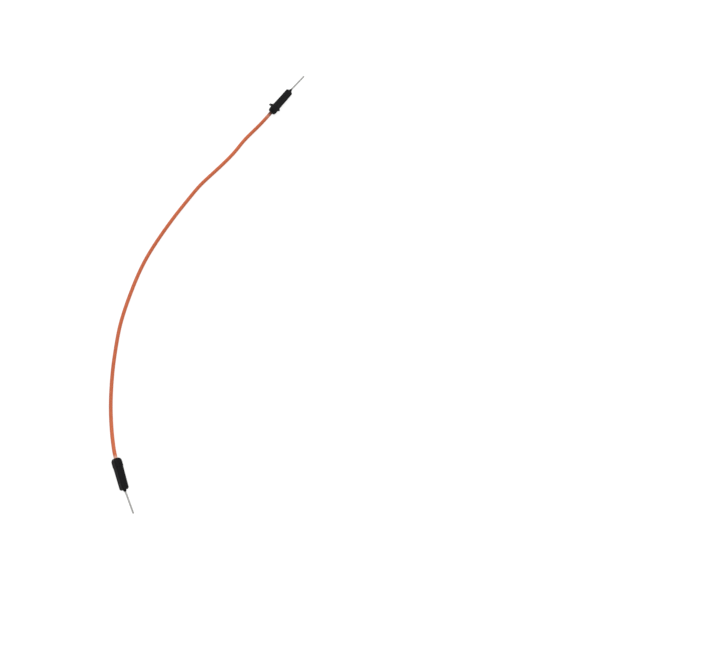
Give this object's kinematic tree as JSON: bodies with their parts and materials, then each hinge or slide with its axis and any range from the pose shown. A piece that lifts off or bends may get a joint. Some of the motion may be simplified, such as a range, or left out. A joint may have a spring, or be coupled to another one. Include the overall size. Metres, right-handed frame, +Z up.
{
  "type": "breadboard jumper wire",
  "caption": "Flexible PVC-insulated jumper lead lying in a gentle bow, with a moulded black plug and a bare round pin at each end.",
  "frame": {"origin": "middle of the box around the two plugs, on the surface the lead lies on", "axes": "+Z up from the surface; +Y along the lead's longest extent, towards plug A; +X to the right, the side that plug A's pin leans to"},
  "size_m": [0.0707, 0.177, 0.0039],
  "materials": {
    "insulation": "soft orange PVC, slight sheen",
    "housing": "black moulded plastic, fine mould texture",
    "pin": "dull tin plate",
    "sleeve": "plain drawn tube, crimped",
    "strand": "bare copper wire"
  },
  "bodies": {
    "root": {"plug_a_housing": "housing", "plug_a_pin": "pin", "plug_a_crimp_sleeve": "sleeve", "plug_b_housing": "housing", "plug_b_pin": "pin", "plug_b_crimp_sleeve": "sleeve", "wire_insulation": "insulation", "wire_strand_centre": "strand", "wire_strand_1": "strand", "wire_strand_2": "strand", "wire_strand_3": "strand", "wire_strand_4": "strand", "wire_strand_5": "strand", "wire_strand_6": "strand"}
  },
  "joints": []
}
